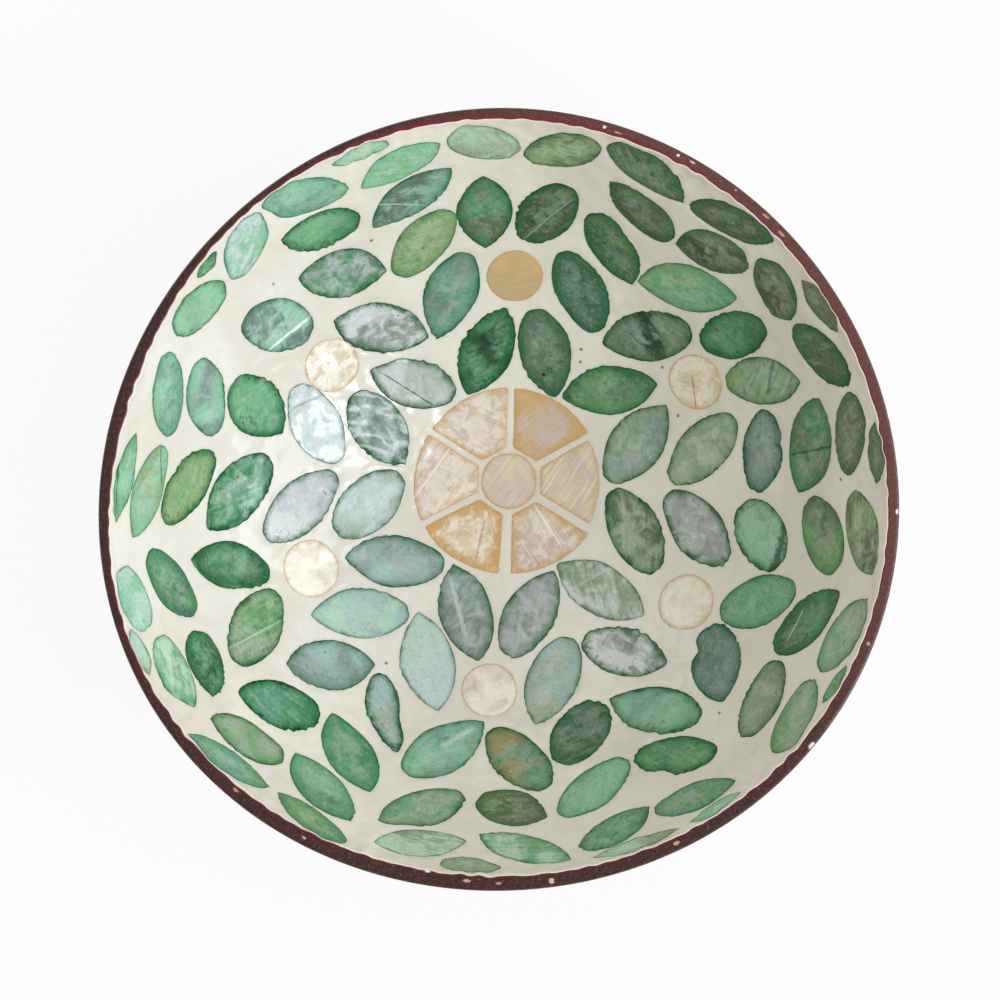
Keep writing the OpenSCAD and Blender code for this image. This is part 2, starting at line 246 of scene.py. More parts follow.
LIP_ROW_SHARES = [
    [0.930, 0.200, 0.938, 0.045, 0.42, 0], [0.846, 0.425, 0.757, 0.560, 0.50, 0],
    [-0.278, 0.904, -0.420, 0.845, 0.45, 1], [-0.706, 0.628, -0.756, 0.562, 0.36, 0],
    [-0.913, 0.178, -0.947, -0.052, 0.60, 0], [-0.868, -0.313, -0.926, -0.160, 0.82, 3],
    [-0.850, -0.423, -0.897, -0.305, 0.30, 0], [-0.148, -0.922, 0.006, -0.940, 0.62, 1],
    [0.235, -0.915, 0.462, -0.828, 0.45, 0], [0.484, -0.812, 0.607, -0.726, 0.40, 0],
    [0.802, -0.497, 0.858, -0.404, 0.38, 0]]
LEAF_ROWS = [
    ("flower_leaf", FLOWER_ROW_SHARES, 1), ("inner_leaves", INNER_ROW_SHARES, 2),
    ("middle_leaves", MIDDLE_ROW_SHARES, 4), ("outer_leaves", OUTER_ROW_SHARES, 3),
    ("upper_leaves", UPPER_ROW_SHARES, 3), ("lip_leaves", LIP_ROW_SHARES, 3)]
leaf_w, blunt_cut = 0.0702 * mouth_d, 0.0088 * mouth_d
print("leaves:", sum(len(row) for _, row, _ in LEAF_ROWS))

# %% [markdown]
# The lip was sawn through a shell that is thicker in some places than in others, so the brown band
# round the mouth is wide at the bottom and nearly gone at the upper left, and its inner edge is a
# little ragged. Bed and shell share that line, and near the lip the lining opens out to reach it.

# %% The line where bed and shell meet
LIP_BAND = [[0, 0.05], [45, 0.1], [90, 0.1], [132, -0.8], [162, 0.6], [198, -0.6], [228, 0.6],
            [252, 0.8], [276, 0.7], [324, 0.2]]  # bearing in degrees, and extra width in mm
RAGGED, RAGGED_SEED = 0.028, 5
ragged_phase = np.random.default_rng(RAGGED_SEED).uniform(0, 2 * math.pi, 16)
EASED_OVER = (-9, -4, 0, 4, 9)
FLARE_W = 4.0
flare_edge = 0.12
squeeze = 0.02
THIN_START, THIN_END, thin_share = 3.5, 0.5, 0.1


def band_more(bearing):
    """Extra width of the brown band in mm: LIP_BAND eased over some degrees, and RAGGED times a sum
    of short cosine waves."""
    at, more = np.array(LIP_BAND).T
    b = np.degrees(bearing)
    wide = sum(np.interp(b + d, at, more, period=360) for d in EASED_OVER) / len(EASED_OVER)
    waves = sum(np.cos((41 + 7 * k) * bearing + phase) for k, phase in enumerate(ragged_phase))
    return wide + RAGGED * waves


def flare(p):
    """Brings points above the lip down to it, and lets the last FLARE_W mm below the lip lean out,
    so that the lining ends at the band: r + (joint's lip radius - edge - face's) * ease."""
    r = np.hypot(p[:, 0], p[:, 1])
    bearing = np.arctan2(p[:, 1], p[:, 0])
    over = p[:, 2] > lip_z
    low = np.where(over, face_lip_r + squeeze * (r - face_lip_r), r)
    ease = smooth_step(face_lip_r - FLARE_W, face_lip_r, low)
    wide = (low + (face_lip_w - flare_edge - band_more(bearing)) * ease) / np.maximum(r, 0.001)
    return np.stack([p[:, 0] * wide, p[:, 1] * wide, np.minimum(p[:, 2], lip_z)], 1)


def near_lip(p):
    """Share of their depth that pockets keep: all of it, and a tenth at the lip, where the bed
    runs out thin."""
    out = smooth_step(face_lip_r - THIN_START, face_lip_r - THIN_END, np.hypot(p[:, 0], p[:, 1]))
    return 1 - (1 - thin_share) * out


print("band is %.0f mm wide, and from 0.8 mm less to 0.8 mm more" % shell_lip_w)

# %% [markdown]
# A chip is flat stock bent by nothing: it is thin enough to lie on the bowl's curve. Its outline is
# drawn on a flat sheet that touches the lining at the chip's middle, and then slid along the sheet's
# normal until it meets the sphere.

# %% Sheet on the lining


def on_face(share):
    """Point of the lining's sphere straight below a place given as shares of the mouth's radius."""
    x, y = np.array(share) * mouth_r
    return np.array([x, y, FACE[1] - math.sqrt(FACE[0] ** 2 - x * x - y * y)])


def sheet_at(share, along):
    """Touching sheet: its middle, its x axis as near along as the sheet allows, its y and its normal."""
    at = on_face(share)
    up = (face_centre - at) / FACE[0]
    x = along - (along @ up) * up
    x = x / np.linalg.norm(x)
    return at, x, np.cross(up, x), up


def lay(sheet, flat, rise):
    """Slides flat points (u, v) of a sheet along its normal onto the sphere of radius face - rise."""
    at, x, y, up = sheet
    q = at + flat[:, :1] * x + flat[:, 1:] * y - face_centre
    b = q @ up
    t = -b - np.sqrt(b * b - (q * q).sum(1) + FACE[0] ** 2)
    return face_centre + (q + t[:, None] * up) * (1 - rise / FACE[0])[:, None]


def leaf_sheet(leaf):
    """Sheet of a leaf, and the leaf's length from place to place."""
    a, b = np.array(leaf[0:2]), np.array(leaf[2:4])
    along = on_face(b) - on_face(a)
    return sheet_at((a + b) / 2, along), np.linalg.norm(along)


print("first leaf is %.1f mm long" % leaf_sheet(FLOWER_ROW_SHARES[0])[1])

# %% [markdown]
# The outlines are sawn and ground by hand, so none is a clean lens: a blunt tip is rounded, edges
# are a little wavy, and some are nibbled. A seeded generator gives each chip its own waves, and a
# bite pushes the outline in round a stated point.

# %% Outlines
OUTLINE = 96
EASE_TIMES = 6
SLOW_WAVES, FINE_WAVES = range(2, 7), range(11, 34)


def even(outline):
    """The closed outline again, as OUTLINE points evenly spaced along it."""
    closed = np.vstack([outline, outline[:1]])
    run = np.concatenate([[0], np.cumsum(np.linalg.norm(np.diff(closed, axis=0), axis=1))])
    s = np.linspace(0, run[-1], OUTLINE, endpoint=False)
    return np.stack([np.interp(s, run, closed[:, i]) for i in (0, 1)], 1)


def outward(outline):
    """Unit normals of a counter-clockwise outline: its step turned a quarter to the right."""
    step = np.roll(outline, -1, 0) - np.roll(outline, 1, 0)
    n = np.stack([step[:, 1], -step[:, 0]], 1)
    return n / np.linalg.norm(n, axis=1)[:, None]


def leaf_outline(length, wide, ends):
    """A lens of two arcs of radius r = (whole² + wide²) / (4 wide), where whole is its length before
    its ends were cut. Half width at u is sqrt(r² - (u - middle)²) - (r - wide/2)."""
    a, b = blunt_cut * (ends % 2), blunt_cut * (ends // 2)
    r, middle = ((length + a + b) ** 2 + wide ** 2) / (4 * wide), (b - a) / 2
    u = length / 2 * np.sin(np.linspace(-math.pi / 2, math.pi / 2, 60))
    half = np.sqrt(r * r - (u - middle) ** 2) - (r - wide / 2)
    return np.vstack([np.stack([u, -half], 1), np.stack([u, half], 1)[::-1]])


def hand_cut(outline, rng, wave, ragged, bite=None, ends=0):
    """Eases the corners, most at the blunt ends, then moves each point along its normal: slow waves,
    fine raggedness, and a bite, (u, v, size, depth)."""
    p = even(outline)
    along = p[:, 0] / np.abs(p[:, 0]).max()
    blunt = smooth_step(0.5, 0.85, -along) * (ends % 2) + smooth_step(0.5, 0.85, along) * (ends // 2)
    soft = 0.12 + 0.88 * blunt
    for _ in range(EASE_TIMES):
        p = p + soft[:, None] * ((np.roll(p, 1, 0) + np.roll(p, -1, 0)) / 2 - p) / 2
    turn = bearings(OUTLINE)
    out = sum(wave / k * np.cos(k * turn + rng.uniform(0, 2 * math.pi)) for k in SLOW_WAVES)
    fine = sum(np.cos(k * turn + rng.uniform(0, 2 * math.pi)) for k in FINE_WAVES)
    where = smooth_step(-0.2, 0.9, np.cos(turn + rng.uniform(0, 2 * math.pi)))
    out = out + ragged * fine / 4 * (0.35 + 0.65 * where)
    if bite:
        u, v, size, depth = bite
        out = out - depth * np.exp(-((p[:, 0] - u) ** 2 + (p[:, 1] - v) ** 2) / size ** 2)
    return p + outward(p) * out[:, None]


print("outline of", OUTLINE, "points")

# %% [markdown]
# A chip's plate is a stack of rings: from the middle of the top out to the edge, round it, and back
# under. Its top stands a few hundredths proud and sinks at the rim, where it was rubbed. Underneath,
# the rim is ground thin, and the pocket in the bed rises to meet it in the same curve.

# %% Plate
TOP_RINGS = (0.0, 0.3, 0.55, 0.74, 0.86, 0.93, 0.97, 1.0)
UNDER_RINGS = (1.0, 0.93, 0.8, 0.5, 0.0)
SINK_START, SINK_END = 0.15, 1.1
EDGE_PROUD, MORE_PROUD, RUBBED_W, EDGE_T = 0.01, 0.07, 0.8, 0.03
GRAIN_APART = 37.0


def plate(sheet, outline, seed, turned, mark=None):
    """Points of one chip, the way in from its rim, its own coordinates on the sheet, turned to lie
    along the shell's growth lines, and where each point is beside and along the chip's mark."""
    middle = outline.mean(0)
    flat = np.vstack([middle + share * (outline - middle) if share else middle[None]
                      for share in TOP_RINGS + UNDER_RINGS])
    rim = np.sqrt(((flat[:, None] - outline[None]) ** 2).sum(2)).min(1)
    top = np.arange(len(flat)) < 1 + (len(TOP_RINGS) - 1) * OUTLINE
    base = lay(sheet, flat, np.zeros(len(flat)))
    proud = EDGE_PROUD + MORE_PROUD * smooth_step(0, RUBBED_W, rim)
    sunk = EDGE_T + pocket_t * smooth_step(SINK_START, SINK_END, rim)
    rise = np.where(top, proud, -sunk * near_lip(base))
    points = flare(lay(sheet, flat, rise))
    grain = np.hstack([spun(flat, -turned), np.full((len(flat), 1), seed * GRAIN_APART)])
    beside = np.zeros((len(flat), 3))
    if mark:
        a, b = [np.array([(on_face(p) - sheet[0]) @ sheet[1], (on_face(p) - sheet[0]) @ sheet[2]])
                for p in (mark[0:2], mark[2:4])]
        run = b - a
        size = np.linalg.norm(run)
        across = ((flat - a) @ np.array([-run[1], run[0]])) / size
        beside = np.stack([across, (flat - a) @ run / size ** 2, np.full(len(flat), mark[4])], 1)
    return points, rim[:, None], grain, beside


PLATE_RINGS = len(TOP_RINGS) + len(UNDER_RINGS)
print("rings in a plate:", PLATE_RINGS)

# %% [markdown]
# ## How each chip looks
# The shell is dyed, so every chip has its own green, and a second colour drifts through it like
# watercolour. Dye gathers in the rough edge and darkens it. Where the nacre shows through it is
# grey, lilac or white with fine lines, and these pale patches are partly painted sheen. Each leaf has
# its two colours, and how much dark edge, nacre with its painted sheen, and streak it shows, from 0
# to 9. Some chips have a single line or band, a mark: its two ends as shares of the mouth's radius,
# half its width in mm, and how pale it is, or how dark where negative.
# A bite out of the edge is (u, v, size, depth) in mm on the chip's sheet, and a few slivers at the
# lip are drawn wider than in the CAD. Leaves are counted from 0 in their row, and petals and spots
# go by their node.

# %% Colours of the leaves
def srgb(r, g, b):
    """Screen colour, 0 to 255, as the linear colour that light is worked out in."""
    c = np.array([r, g, b]) / 255
    return np.where(c <= 0.04045, c / 12.92, ((c + 0.055) / 1.055) ** 2.4)


DYES = {
    "mint": (130, 188, 154), "palemint": (172, 208, 184), "spring": (116, 184, 126),
    "green": (66, 134, 90), "lightgreen": (102, 164, 118), "grass": (92, 148, 90),
    "pine": (34, 92, 58), "deepteal": (50, 102, 82),
    "teal": (92, 150, 124), "paleteal": (150, 184, 178), "sage": (140, 162, 134),
    "greysage": (128, 148, 132), "greygreen": (84, 110, 88), "moss": (84, 112, 66),
    "lightmoss": (130, 158, 108), "olive": (88, 102, 72), "darkolive": (54, 70, 42),
    "ochre": (148, 136, 88), "slate": (104, 130, 122), "ice": (188, 208, 206),
    "pearl": (206, 210, 208), "lilac": (160, 160, 164), "grey": (126, 138, 130)}
LEAF_LOOKS = {
    "flower_leaf": "sage slate 4 2 4, grass pine 5 0 1, greygreen pine 5 0 1, pine green 9 0 1,"
    " pearl sage 5 4 1, slate grey 8 3 6, ice sage 4 3 2, paleteal slate 4 2 3, grey slate 4 3 4,"
    " greysage lilac 4 2 2, sage pearl 2 2 5, olive sage 6 1 2",
    "inner_leaves": "sage lightmoss 4 3 2, greygreen moss 6 1 2, deepteal pine 5 0 1,"
    " teal greygreen 4 1 1, grey pearl 6 5 2, ice pearl 2 5 2, pearl lilac 6 6 3,"
    " palemint paleteal 2 1 1, paleteal slate 5 1 2, ice palemint 2 2 1, paleteal sage 7 2 2,"
    " paleteal sage 3 2 1, grey pearl 8 3 2, lilac greysage 6 5 2",
    "middle_leaves": "greysage slate 7 1 2, lightmoss sage 4 0 5, green pine 7 0 1,"
    " lightgreen lightmoss 2 0 2, moss pine 6 0 1, darkolive moss 7 0 1, green olive 6 0 1,"
    " grass lightmoss 2 0 1, green greygreen 5 4 3, slate mint 4 2 2, lightgreen green 7 0 1,"
    " green mint 8 2 3, green pine 4 0 1, grass sage 6 0 2, green teal 9 0 2,"
    " teal green 2 0 1, mint teal 3 1 4, ochre green 6 1 3, pine greygreen 8 0 2,"
    " mint lightgreen 3 0 1, mint teal 7 1 2, slate deepteal 6 1 2, lightgreen teal 3 0 1,"
    " sage mint 6 1 3",
    "outer_leaves": "green moss 3 0 2, darkolive greygreen 3 0 1, moss darkolive 5 0 1,"
    " greygreen teal 4 1 2, lightgreen green 8 0 1, mint slate 3 1 3, lightmoss grass 7 0 2,"
    " green deepteal 2 0 1, pine green 6 0 1, sage grass 5 0 1, lightgreen green 3 0 2,"
    " lightgreen sage 5 0 2, moss olive 4 0 2, grass green 8 0 2, sage moss 6 1 2,"
    " green pine 6 0 2, grass moss 2 0 1",
    "upper_leaves": "moss olive 5 0 3, pine darkolive 9 0 3, darkolive moss 4 0 1,"
    " pine darkolive 6 0 1, pine greygreen 6 0 1, greygreen lightmoss 4 0 1, palemint sage 1 0 1,"
    " spring mint 1 0 2, mint teal 2 0 1, mint ice 2 0 1, mint lightgreen 4 0 1, mint teal 2 0 1,"
    " mint lightmoss 1 0 1, lightgreen palemint 2 0 1, teal grass 2 0 1, grass green 2 0 1,"
    " sage palemint 1 0 2, lightgreen palemint 3 0 2, green teal 4 0 2, grass teal 3 0 2,"
    " sage grass 2 0 2, lightgreen sage 3 0 2, olive lightmoss 1 0 2",
    "lip_leaves": "olive greygreen 3 0 1, olive greygreen 2 0 1, mint palemint 1 0 1,"
    " green mint 3 0 1, lightgreen mint 2 0 1, palemint mint 1 0 1, palemint sage 1 0 1,"
    " sage mint 2 0 2, sage palemint 2 0 1, palemint mint 1 0 1, grass lightgreen 1 0 1"}
MARK_SHARES = {
    "flower_leaf 3": [-0.063, 0.425, -0.007, 0.354, 1.1, -0.8],
    "flower_leaf 4": [-0.295, 0.329, -0.167, 0.248, 0.12, -0.8],
    "flower_leaf 8": [-0.122, -0.202, -0.089, -0.332, 0.35, 0.35],
    "flower_leaf 10": [0.188, -0.217, 0.267, -0.171, 0.22, 0.25],
    "inner_leaves 1": [0.350, 0.505, 0.403, 0.370, 1.5, -0.9],
    "inner_leaves 5": [-0.527, 0.239, -0.456, 0.274, 0.22, -0.4],
    "middle_leaves 1": [0.693, 0.374, 0.678, 0.277, 0.40, -0.5],
    "middle_leaves 5": [0.073, 0.677, 0.179, 0.763, 0.12, 0.3],
    "middle_leaves 9": [-0.492, 0.469, -0.581, 0.395, 0.28, 1],
    "middle_leaves 13": [-0.658, -0.355, -0.549, -0.297, 0.18, 0.3],
    "middle_leaves 16": [-0.144, -0.626, -0.070, -0.584, 0.5, 0.35],
    "middle_leaves 23": [0.722, -0.030, 0.684, -0.180, 0.90, -0.75],
    "outer_leaves 0": [0.737, 0.121, 0.836, 0.141, 0.25, -0.7],
    "outer_leaves 3": [-0.312, 0.760, -0.199, 0.758, 0.16, 0.35],
    "outer_leaves 15": [0.758, -0.271, 0.725, -0.338, 0.20, 0.35],
    "upper_leaves 9": [-0.607, 0.711, -0.634, 0.672, 0.16, 0.5],
    "upper_leaves 12": [-0.850, 0.136, -0.845, 0.045, 0.14, -0.8],
    "lip_leaves 4": [-0.941, 0.102, -0.944, -0.013, 0.22, -0.7],
    "petal_4": [-0.130, 0.134, -0.210, 0.017, 0.14, 0.6],
    "petal_5": [-0.039, -0.053, -0.059, -0.143, 0.16, -0.6],
    "petal_6": [0.095, -0.016, 0.156, -0.109, 0.18, 0.6],
    "spot_1": [0.489, 0.316, 0.498, 0.241, 0.16, -0.7]}
BITES = {
    "flower_leaf 4": (6, -2.6, 1.8, 0.4), "inner_leaves 10": (0.5, 3.2, 4.2, 1.6),
    "middle_leaves 0": (2.5, -3.4, 0.7, 1.2), "middle_leaves 2": (5, -2, 1.2, 0.6),
    "middle_leaves 4": (2.0, -3.4, 3.2, 1.2), "middle_leaves 12": (-2, 3.2, 3.5, 0.9),
    "middle_leaves 21": (-4.5, -3.5, 1.3, 1.4), "outer_leaves 2": (-2, 3.4, 3, 0.8),
    "outer_leaves 6": (1.0, -3.4, 1.4, 0.9), "outer_leaves 11": (5, 2.6, 2.2, 0.7),
    "outer_leaves 13": (-1.2, -3.2, 1.9, 2.1), "upper_leaves 8": (5.5, 1.6, 1.6, 0.7)}
WIDER = {"lip_leaves 0": 1.35, "lip_leaves 1": 1.3, "lip_leaves 6": 1.6}


def look(words, colours):
    """Two of the colours by name, and the shares of dark edge, nacre with its painted sheen, and streak."""
    first, second, *nines = words.split()
    return srgb(*colours[first]), srgb(*colours[second]), [int(n) / 9 for n in nines]


for row, leaves, _ in LEAF_ROWS:
    assert len(LEAF_LOOKS[row].split(",")) == len(leaves), row
print("dyes:", ", ".join(DYES))

# %% [markdown]
# Each CAD node of leaves gets one object, whose mesh holds its leaves as separate closed plates. The
# dyes and the chip's own coordinates go along as attributes, which one material reads for all.

# %% Leaf chips
leaf_wave, least_ragged, dark_ragged = 0.18, 0.035, 0.085
LEAF_TURN = 0.9


def stack_plates(node, chips):
    """One object of several plates. A chip is (sheet, outline, seed, turn of its growth lines, dye,
    second dye, shares of dark edge, nacre with its painted sheen, and streak, mark)."""
    faces, stack, start = [], [], 0
    for sheet, outline, seed, turned, dye, drift, (dark, nacre_and_sheen, streak), mark in chips:
        points, rim, grain, beside = plate(sheet, outline, seed, turned, mark)
        faces += ring_faces(PLATE_RINGS, OUTLINE, start)
        start += len(points)
        whole = {"dye": [*dye, 1], "drift": [*drift, 1], "dark": dark, "nacre_and_sheen": nacre_and_sheen,
                 "streak": streak, "pale": mark[5] if mark else 0}
        stack.append({"points": points, "rim": rim, "grain": grain, "mark": beside,
                      **{key: np.tile(value, (len(points), 1)) for key, value in whole.items()}})
    values = {key: np.vstack([one[key] for one in stack]) for key in stack[0]}
    return piece(node + "_pearl", node, values.pop("points"), faces, values)


leaf_pieces, green_chips = [], []
for row, leaves, per_node in LEAF_ROWS:
    chips = []
    for i, (leaf, words) in enumerate(zip(leaves, LEAF_LOOKS[row].split(","))):
        name, seed = "%s %d" % (row, i), len(green_chips) + 1
        rng = np.random.default_rng(seed)
        sheet, length = leaf_sheet(leaf)
        dye, drift, amounts = look(words, DYES)
        outline = hand_cut(leaf_outline(length, leaf_w * leaf[4] * WIDER.get(name, 1), leaf[5]), rng,
                           leaf_wave, least_ragged + dark_ragged * amounts[0], BITES.get(name), leaf[5])
        green_chips.append((sheet, outline))
        chips.append((sheet, outline, seed, rng.uniform(-LEAF_TURN, LEAF_TURN), dye, drift, amounts,
                      MARK_SHARES.get(name)))
    for first in range(0, len(leaves), per_node):
        node = "%s_%d" % (row, first // per_node + 1)
        leaf_pieces.append(stack_plates(node, chips[first:first + per_node]))
print("leaf objects:", len(leaf_pieces), "triangles in one:", triangles(leaf_pieces[0]))

# %% [markdown]
# The flower has six petals round a disc. A petal is a slice of a ring: its sides run beside its
# neighbours' with a gap of filler, its outer edge is an arc, and its point is cut off straight.
# Six round spots of the same pale pearl stand between the leaves.

# %% Flower and spots
EAST = np.array([1.0, 0, 0])
FLOWER_SHARE = [0.025, 0.055]
PETAL_BEARINGS = [0, 59, 118, 177, 236, 299]
PETAL_REACH_SHARES = [1.0, 1.04, 1.045, 1.05, 1.045, 1.04]
PETAL_HALF = math.radians(30)
petal_reach, petal_gap, petal_point = 0.114 * mouth_d, 0.0103 * mouth_d, 0.0397 * mouth_d
disc_r, spot_r = 0.0352 * mouth_d, 0.03455 * mouth_d
SPOT_SHARES = [[0.498, 0.306], [0.040, 0.577], [-0.429, 0.352], [-0.469, -0.164], [-0.025, -0.486],
               [0.470, -0.251]]
SPOT_WIDE, SPOT_LONG = 1.03, 1.08
PETAL_CUT, DISC_CUT, SPOT_CUT = (0.06, 0.02), (0.05, 0.01), (0.10, 0.02)
DISC_GRAIN, SPOT_GRAIN = 0.9, 0.3
PETAL_SEED, DISC_SEED, SPOT_SEED = 200, 300, 400
CREAMS = {
    "cream": (218, 202, 172), "gold": (206, 172, 118), "tan": (194, 168, 122),
    "pink": (204, 184, 172), "white": (240, 232, 218), "beige": (208, 196, 164)}
PETAL_GRAIN = [1.0, 0.7, -0.4, 1.0, 0.9, -1.0]
PETAL_LOOKS = "cream pink 3 1 7, gold pink 6 0 2, pink cream 5 3 5, pink cream 4 3 6," \
    " cream gold 8 4 2, pink cream 6 3 6"
DISC_LOOK = "cream pink 3 1 3"
SPOT_LOOKS = "beige cream 2 4 6, tan gold 1 0 1, cream white 3 8 3, white cream 2 6 2," \
    " white pink 1 3 1, white cream 3 5 1"


def petal_outline(bearing, reach):
    """Corners of a slice between reach and point, its sides half a gap from the slice's own."""
    apex = petal_gap / 2 / math.sin(PETAL_HALF)
    side = np.linspace(petal_point, reach, 60)
    v = (side - apex) * math.tan(PETAL_HALF)
    keep = np.hypot(side, v) <= reach
    side, v = side[keep], v[keep]
    end = math.atan2(v[-1], side[-1])
    slice_of_ring = np.vstack([np.stack([side, -v], 1), reach * on_circle(np.linspace(-end, end, 30)),
                               np.stack([side, v], 1)[::-1]])
    return spun(slice_of_ring, math.radians(bearing))


def round_outline(r, place=(1, 0), long=1.0):
    """Circle of radius r, made longer in the direction in which its place lies from the middle."""
    p = r * on_circle(bearings(OUTLINE))
    way = np.array(place) / math.hypot(*place)
    return p + (long - 1) * (p @ way)[:, None] * way


cream_pieces, cream_chips = [], []


def set_cream(node, sheet, outline, seed, cut, turned, words):
    """Cuts one cream chip by hand and lays it, with the mark that is listed for its node."""
    outline = hand_cut(outline, np.random.default_rng(seed), *cut)
    cream_chips.append((sheet, outline))
    cream_pieces.append(stack_plates(node, [
        (sheet, outline, seed, turned, *look(words, CREAMS), MARK_SHARES.get(node))]))


flower = sheet_at(FLOWER_SHARE, EAST)
for i, (bearing, words) in enumerate(zip(PETAL_BEARINGS, PETAL_LOOKS.split(","))):
    set_cream("petal_%d" % (i + 1), flower, petal_outline(bearing, petal_reach * PETAL_REACH_SHARES[i]),
              PETAL_SEED + i, PETAL_CUT, PETAL_GRAIN[i], words)
set_cream("flower_disc", flower, round_outline(disc_r), DISC_SEED, DISC_CUT, DISC_GRAIN, DISC_LOOK)
for i, (share, words) in enumerate(zip(SPOT_SHARES, SPOT_LOOKS.split(","))):
    set_cream("spot_%d" % (i + 1), sheet_at(share, EAST), round_outline(spot_r * SPOT_WIDE, share, SPOT_LONG),
              SPOT_SEED + i, SPOT_CUT, SPOT_GRAIN * i, words)
print("cream objects:", len(cream_pieces))

# %% [markdown]
# ## The bed and the shell
# The bed is one poured skin, so it is one grid of points: bearing round the bowl, and angle up from
# its lowest point. A pocket is the same surface let down under a chip. How deep a point lies inside
# a chip's outline, or how far outside it, is measured to the nearest point of that outline on the
# chip's own sheet. The distance outside is kept too, because dye and glue stain the filler there,
# and beside the green chips it also sets painted shade.

# %% How far inside a chip
FAR = 4.0


def depth_in(flat, outline):
    """Distance to the nearest outline point, positive where it lies against that point's normal."""
    apart = flat[:, None] - outline[None]
    squares = (apart ** 2).sum(2)
    near = squares.argmin(1)
    rows = np.arange(len(flat))
    side = (apart[rows, near] * outward(outline)[near]).sum(1)
    return np.where(side < 0, 1, -1) * np.sqrt(squares[rows, near])


def chips_over(points, chips):
    """For each point, the depth inside the chip over it, or less the distance to the nearest one."""
    depth = np.full(len(points), -FAR)
    for sheet, outline in chips:
        at, x, y, _ = sheet
        reach = np.linalg.norm(outline, axis=1).max() + FAR
        near = np.flatnonzero(((points - at) ** 2).sum(1) < reach ** 2)
        flat = np.stack([(points[near] - at) @ x, (points[near] - at) @ y], 1)
        depth[near] = np.maximum(depth[near], depth_in(flat, outline))
    return depth


print("green chips %d, cream chips %d" % (len(green_chips), len(cream_chips)))

# %% [markdown]
# Bed and shell are stacks of rings round the bowl, and they meet on the same sphere, so both have
# the same rings there.

# %% Rings
AROUND = 600
EASE_START = 0.8
turn = bearings(AROUND)


def round_rings(radius, height):
    """Rings of points at each radius and height; a radius may differ from bearing to bearing."""
    size = (len(height), AROUND)
    r = np.broadcast_to(np.array(radius, float).reshape(len(height), -1), size)
    z = np.broadcast_to(np.array(height, float)[:, None], size)
    return np.stack([r * np.cos(turn), r * np.sin(turn), z], 2)


def joint_rings(rings):
    """Rings up the sphere between bed and shell, from just off the bottom to the lip, where the
    radius is less by the band's extra width: r = R sin a - more * ease, z = centre - R cos a."""
    lip = math.asin(bed_lip_r / BED[0])
    a = np.linspace(0, lip, rings + 1)[1:]
    ease = smooth_step(EASE_START, 1, a / lip)
    radius = (BED[0] * np.sin(a))[:, None] - ease[:, None] * band_more(turn)[None]
    return round_rings(radius, BED[1] - BED[0] * np.cos(a))


JOINT_RINGS = 12
joint = joint_rings(JOINT_RINGS)
joint_base = [0, 0, BED[1] - BED[0]]
print("points round the bowl:", AROUND)

# %% Bed
BED_RINGS = 140
POCKET_START, POCKET_END = 0.5, 1.5
rise_angle = np.linspace(0, math.asin(face_lip_r / FACE[0]), BED_RINGS + 1)[1:]
face_rings = round_rings(FACE[0] * np.sin(rise_angle), FACE[1] - FACE[0] * np.cos(rise_angle))
top = np.vstack([[[0, 0, FACE[1] - FACE[0]]], face_rings.reshape(-1, 3)])
green_depth, cream_depth = chips_over(top, green_chips), chips_over(top, cream_chips)
inside = smooth_step(POCKET_START, POCKET_END, np.maximum(green_depth, cream_depth))
sink = pocket_t * inside * near_lip(top)
top = flare(face_centre + (top - face_centre) * (1 + sink / FACE[0])[:, None])
lip_ring = (top[-AROUND:] + joint[-1]) / 2
bed_points = np.vstack([top, lip_ring, joint[::-1].reshape(-1, 3), [joint_base]])


def on_bed(depth):
    """Distance outside the chips on the face, up to FAR, and FAR on the rest of the bed."""
    return np.concatenate([np.clip(-depth, 0, FAR), np.full(len(bed_points) - len(top), FAR)])


bed = piece("filler_bed_skin", "filler_bed", bed_points,
            ring_faces(BED_RINGS + 1 + JOINT_RINGS + 2, AROUND),
            {"from_green": on_bed(green_depth), "from_cream": on_bed(cream_depth)})
print("bed triangles:", triangles(bed))

# %% [markdown]
# The shell is a profile carried round the bowl: up the inside under the bed, over the lip, whose
# outer corner is rubbed round, down the outside, and across the foot, where it was sanded flat. Its
# coordinates along the wall are kept, because the fibres of a coconut run from pole to pole, and so
# is the distance from the bed's edge, in widths of the line of lacquer that has gathered there. Each
# ring also has a share of sawn lip, and one of sanded foot.

# %% Shell
corner_h, corner_w = 0.5, 0.45
WALL_RINGS, wall_end_z = 70, 0.35
FOOT_RING_SHARES = np.array([1.0, 0.985, 0.96, 0.8, 0.6, 0.4, 0.2])
foot_ring_z = [0.1, 0.02, 0, 0, 0, 0, 0]
SANDED_SHARES = [0.2, 0.8, 1, 1, 1, 1, 1]
SAWN_SHARES = [1, 1, 1, 1, 0.85, 0.5, 0.15]
SHELF_SHARES = np.array([[0.8, 0.3], [0.2, 0.7]])[:, :, None, None]
LINE_W, MORE_LINE_W, OFF_LINE = 0.22, 0.35, 9
corner_turn = np.linspace(0, math.pi / 2, 6)
wall_z = np.linspace(lip_z - corner_h, wall_end_z, WALL_RINGS)
wall_r = np.sqrt(OUTSIDE[0] ** 2 - (OUTSIDE[1] - wall_z) ** 2)
corner_r = wall_r[0] - corner_w * (1 - np.sin(corner_turn))
corner_z = lip_z - corner_h * (1 - np.cos(corner_turn))
outer = round_rings(np.concatenate([corner_r, wall_r[1:], FOOT_RING_SHARES * foot_r]),
                    np.concatenate([corner_z, wall_z[1:], foot_ring_z]))
shelf = joint[-1:] * SHELF_SHARES[0] + outer[:1] * SHELF_SHARES[1]
rings = np.concatenate([joint, shelf, outer])
shell_points = np.vstack([[joint_base], rings.reshape(-1, 3), [[0, 0, 0]]])
ring_r = np.hypot(rings[:, :, 0], rings[:, :, 1])
line_w = LINE_W + MORE_LINE_W * smooth_step(0.75, 1, np.sin(turn))
